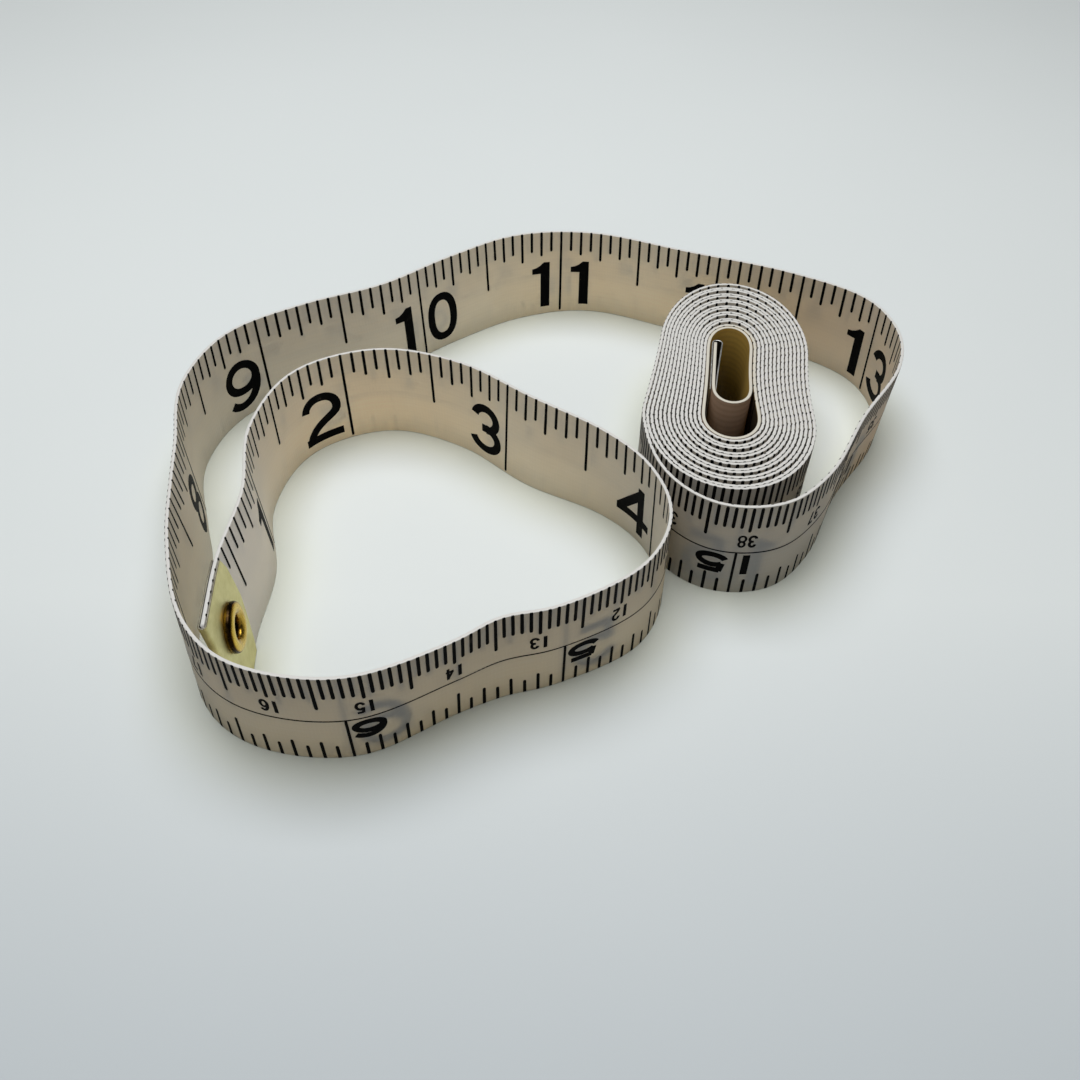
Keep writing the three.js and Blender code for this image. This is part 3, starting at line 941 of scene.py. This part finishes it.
def tail_tone(tree, along, up, height_up, on_b, threads):
    """The bare tail in the hollow, painted with the hollow's shade: dark brown towards its foot, and black
    down in the narrow pocket.
    """
    # Painted shade, darkest towards the foot of the hollow.
    inside = ramp(tree, height_up, [(0.2, (0.21, 0.12, 0.012)), (0.95, (0.57, 0.38, 0.09))])
    outside = ramp(tree, height_up, [(0.2, (0.22, 0.155, 0.115)), (0.95, (0.54, 0.41, 0.32))])
    hollow_shade = blend_colours(tree, on_b, inside, outside)
    lined = levels(tree, threads, 0.2, 1.0, 0.0, 0.16)
    hollow_shade = blend_colours(tree, lined, hollow_shade, (0.12, 0.075, 0.03))
    # Painted shade: black down in the narrow pocket.
    entered = levels(tree, along, POCKET[0], POCKET[0] + 3, 0.0, 1.0)
    not_left = levels(tree, along, POCKET[1], POCKET[1] + 3, 1.0, 0.0)
    below_edge = levels(tree, up, 14.6, 14.95, 0.97, 0.0)
    deep = maths(tree, "MULTIPLY", maths(tree, "MULTIPLY", entered, not_left), below_edge)
    return blend_colours(tree, deep, hollow_shade, (0.012, 0.009, 0.006))


def let_light_through(tree, shader, tone, on_b, edge):
    """Mixes in light from the far side, warmed by the cloth; little of it shows at the edges."""
    warmed = blend_colours(tree, 1.0, tone, (1.0, 0.93, 0.77), "MULTIPLY")
    glow = node(tree, "ShaderNodeBsdfTranslucent", {"Color": warmed}).outputs["BSDF"]
    through = levels(tree, on_b, 0.0, 1.0, 0.38, 0.45)
    share = maths(tree, "MULTIPLY", through, levels(tree, edge, 0.0, 1.0, 1.0, 0.2))
    both = node(tree, "ShaderNodeMixShader", {"Fac": share, 1: shader.outputs["BSDF"], 2: glow})
    feed(tree, tree.nodes["Material Output"], {"Surface": both.outputs["Shader"]})


def cloth_material():
    """Coated cloth: a fine weave under a satin coat, with face B greyed as painted shade, pale edges and a
    bare tail painted with the hollow's shade.
    """
    material, tree, shader = new_material("coated_cloth")
    uv = laid_out(tree)
    along = split(tree, uv)["X"]
    up = split(tree, uv)["Y"]
    on_b = split(tree, laid_out(tree, "face"))["X"]
    height_up = levels(tree, up, 0.0, WIDTH, 0.0, 1.0)
    weave = maths(tree, "ADD", bands(tree, uv, "Y", 0.62, 0.5), bands(tree, uv, "X", 0.7, 0.6))
    threads = bands(tree, scaled(tree, uv, (0.12, 1.0, 1)), "Y", 0.36, 2.5, 0.5)
    grain = noise(tree, uv, 5.0, 2.0)
    bare = levels(tree, along, BARE_FROM, BARE_FROM + 8, 0.0, 1.0)
    tone = printed_tone(tree, uv, along, height_up, weave, threads)
    # Past BARE_FROM the tail takes the hollow's painted shade.
    tone = blend_colours(tree, bare, tone, tail_tone(tree, along, up, height_up, on_b, threads))
    from_middle = maths(tree, "ABSOLUTE", maths(tree, "SUBTRACT", up, WIDTH / 2), 0)
    edge = levels(tree, from_middle, WIDTH / 2 - 0.08, WIDTH / 2 - 0.02, 0.0, 1.0)
    edge_tone = blend_colours(tree, bare, (0.59, 0.585, 0.57), (0.57, 0.545, 0.475))
    tone = blend_colours(tree, edge, tone, edge_tone)
    # Painted shade: the printed part of face B is darkened and greyed.
    shaded_b = blend_colours(tree, 1.0, tone, (0.57, 0.595, 0.64), "MULTIPLY")
    not_bare = maths(tree, "SUBTRACT", 1.0, bare)
    printed_part = maths(tree, "MULTIPLY", not_bare, maths(tree, "SUBTRACT", 1.0, edge))
    seen = blend_colours(tree, maths(tree, "MULTIPLY", on_b, printed_part), tone, shaded_b)
    feed(tree, shader, {
        "Base Color": seen,
        "Roughness": levels(tree, grain, 0.3, 0.7, 0.42, 0.56),
        "Normal": bump(tree, maths(tree, "ADD", weave, grain), 0.25),
        "Specular IOR Level": 0.4,
    })
    let_light_through(tree, shader, tone, on_b, edge)
    return material


def ink_material():
    """Black ink that has worn thin in small places."""
    material, tree, shader = new_material("scale_ink")
    uv = laid_out(tree)
    patches = noise(tree, uv, 0.55, 5.0, 0.62)
    specks = noise(tree, uv, 4.5, 3.0, 0.6)
    worn = maths(tree, "ADD", maths(tree, "MULTIPLY", patches, 0.65), maths(tree, "MULTIPLY", specks, 0.35))
    stops = [(0.0, (0.001, 0.001, 0.0013)), (0.6, (0.002, 0.002, 0.002)), (0.72, (0.06, 0.05, 0.04))]
    tone = ramp(tree, worn, stops)
    rough = levels(tree, specks, 0.3, 0.7, 0.4, 0.58)
    feed(tree, shader, {"Base Color": tone, "Roughness": rough, "Specular IOR Level": 0.02})
    return material


def tip_material(name, clear, dull, rough):
    """Thin plated sheet: satin, rubbed along, with stains and a few fine scratches."""
    material, tree, shader = new_material(name)
    uv = laid_out(tree)
    clouds = noise(tree, uv, 0.35, 5.0, 0.6)
    rubbed = noise(tree, scaled(tree, uv, (0.8, 9.0, 1)), 1.0, 3.0, 0.6)
    scratch = noise(tree, scaled(tree, uv, (7.0, 0.35, 1)), 1.0, 2.0, 0.4)
    tone = ramp(tree, clouds, [(0.32, dull), (0.62, clear)])
    tone = blend_colours(tree, levels(tree, rubbed, 0.45, 0.75, 0.0, 0.25), tone, dull)
    scratched = levels(tree, scratch, 0.66, 0.72, 0.0, 1.0)
    height = maths(tree, "ADD", maths(tree, "MULTIPLY", rubbed, 0.4), scratched)
    feed(tree, shader, {
        "Base Color": tone,
        "Metallic": 1.0,
        "Roughness": levels(tree, rubbed, 0.3, 0.7, rough - 0.06, rough + 0.08),
        "Normal": bump(tree, height, 0.25),
    })
    return material


def eyelet_material():
    """Rolled brass, bright on the ridge, with painted shade and dark reflection down its outer side and in
    its bore.
    """
    material, tree, shader = new_material("eyelet_brass")
    dark = split(tree, laid_out(tree))["Y"]
    place = node(tree, "ShaderNodeTexCoord", {}).outputs["Object"]
    clouds = noise(tree, place, 900.0, 4.0, 0.6)
    specks = noise(tree, place, 4200.0, 3.0, 0.6)
    wavy = maths(tree, "ADD", dark, levels(tree, clouds, 0.3, 0.7, -0.08, 0.08))
    # The profile's dark share is painted shade and reflection, from bright gold to black.
    stops = [(0.1, (0.66, 0.47, 0.09)), (0.5, (0.30, 0.17, 0.02)), (0.9, (0.022, 0.012, 0.005))]
    tone = ramp(tree, wavy, stops)
    tone = blend_colours(tree, levels(tree, specks, 0.55, 0.75, 0.0, 0.15), tone, (0.20, 0.12, 0.03))
    feed(tree, shader, {
        "Base Color": tone,
        "Metallic": 1.0,
        "Roughness": levels(tree, clouds, 0.3, 0.7, 0.34, 0.2),
        "Normal": bump(tree, specks, 0.05),
    })
    return material


def floor_material():
    """A pale table top with painted shade that falls off towards the front, and a warm painted glow beside
    the strip.
    """
    material, tree, shader = new_material("pale_table")
    place = node(tree, "ShaderNodeTexCoord", {}).outputs["Object"]
    clouds = noise(tree, place, 9.0, 3.0)
    tone = ramp(tree, clouds, [(0.3, (0.592, 0.628, 0.638)), (0.7, (0.609, 0.645, 0.655))])
    # Painted light: a warm glow beside the strip, where light comes through it.
    near = node(tree, "ShaderNodeAttribute", {}, attribute_name="near_strip").outputs["Fac"]
    warmed = blend_colours(tree, near, (1.0, 1.0, 1.0), (1.06, 1.045, 0.935))
    tone = blend_colours(tree, 1.0, tone, warmed, "MULTIPLY")
    # Painted shade: the table darkens and turns cooler towards the front.
    backwards = levels(tree, split(tree, place)["Y"], -0.085, -0.02, 0.0, 1.0)
    front = ramp(tree, backwards, [(0.0, (0.71, 0.735, 0.775)), (1.0, (1.0, 1.0, 1.0))])
    tone = blend_colours(tree, 1.0, tone, front, "MULTIPLY")
    feed(tree, shader, {"Base Color": tone, "Roughness": 0.6, "Specular IOR Level": 0.3})
    return material


def floor_piece(material):
    """The table top, finer round the strip; each point knows how near the strip it is, for its painted glow.
    """
    fine = [FLOOR_PITCH * k for k in range(-FLOOR_HALF_COUNT, FLOOR_HALF_COUNT + 1)]
    lines = [-far for far in reversed(FLOOR_FAR)] + fine + list(FLOOR_FAR)
    count = len(lines)
    points = [(x, y, -FLOOR_DROP) for y in lines for x in lines]
    faces = []
    for row in range(count - 1):
        for k in range(count - 1):
            a = row * count + k
            faces.append([a, a + 1, a + count + 1, a + count])
    obj = make_piece("floor", points, faces, material)
    feet = np.array([on_strip(s, 0, 0)[:2] for s in np.arange(0, LENGTH, 2)])
    near = obj.data.attributes.new("near_strip", "FLOAT", "POINT")
    for k, (x, y, z) in enumerate(points):
        gap = np.hypot(feet[:, 0] - x, feet[:, 1] - y).min()
        near.data[k].value = math.exp(-(gap / TINT_REACH) ** 2)
    return obj


def area_light(name, place, target, width, depth, power, colour):
    """A lamp with a face of that size, turned to the target; lengths are in metres."""
    data = bpy.data.lights.new(name, "AREA")
    data.shape = "RECTANGLE"
    data.size = width
    data.size_y = depth
    data.energy = power
    data.color = colour
    lamp = bpy.data.objects.new(name, data)
    bpy.context.scene.collection.objects.link(lamp)
    lamp.location = place
    lamp.rotation_euler = (Vector(target) - Vector(place)).to_track_quat("-Z", "Y").to_euler()


cloth = cloth_material()
ink = ink_material()
strip = strip_piece(cloth)
open_eyelet_hole(strip)
scales = face_a_scale(ink) + face_b_scale(ink)
brass_plate = tip_material("pale_brass_plate", (0.75, 0.70, 0.37), (0.61, 0.56, 0.26), 0.5)
# The start tip's cut edges are darker metal, and partly painted shade of the grooves along them.
brass_edge = tip_material("cut_brass_edge", (0.26, 0.245, 0.19), (0.12, 0.11, 0.085), 0.5)
grey_plate = tip_material("grey_plate", (0.70, 0.71, 0.70), (0.52, 0.53, 0.52), 0.34)
# Painted shade: the sheets' inner sides are near black, so the slits between sheet and strip read dark.
gap_shade_inside = tip_material("inner_side_painted_shade", (0.10, 0.10, 0.09), (0.05, 0.05, 0.045), 0.5)
start_tip = tip_piece("start_tip_sheet", (brass_plate, gap_shade_inside, brass_edge), START_TIP_EDGE, True, 0)
end_tip = tip_piece(
    "end_tip_sheet", (grey_plate, gap_shade_inside, grey_plate), END_TIP_EDGE, False, END_TIP_SPREAD)
eyelet = eyelet_piece(eyelet_material())

for piece in [strip, start_tip, end_tip, eyelet] + scales:
    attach(piece, "root")
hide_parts("tape_free_run", "tape_coil")
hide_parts("start_tip")
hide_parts("end_tip")
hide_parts("eyelet")

# The table, the light and the camera.
floor = floor_piece(floor_material())
area_light("key", place=(-0.025, 0.075, 0.43), target=(-0.025, 0.0751, 0.0), width=0.36, depth=0.36,
           power=2.52, colour=(1.0, 1.0, 0.985))
area_light("fill", place=(-0.05, -0.45, 0.30), target=(0.0, 0.0, 0.0), width=0.5, depth=0.3,
           power=0.26, colour=(1.0, 0.985, 0.95))

world = bpy.data.worlds.new("room")
bpy.context.scene.world = world
world.use_nodes = True
sky = world.node_tree.nodes["Background"]
feed(world.node_tree, sky, {"Color": (0.98, 0.97, 0.92), "Strength": 0.05})

camera_data = bpy.data.cameras.new("camera")
camera_data.sensor_width = CAMERA_SENSOR
camera_data.lens = CAMERA_LENS
camera_data.clip_start = 0.001
camera_data.clip_end = 20.0
camera = bpy.data.objects.new("camera", camera_data)
bpy.context.scene.collection.objects.link(camera)
turn = Matrix.Rotation(math.pi / 2 - CAMERA_PITCH, 4, "X") @ Matrix.Rotation(CAMERA_ROLL, 4, "Z")
camera.matrix_world = Matrix.Translation(CAMERA_PLACE) @ turn
bpy.context.scene.camera = camera
bpy.context.scene.view_settings.view_transform = "Standard"
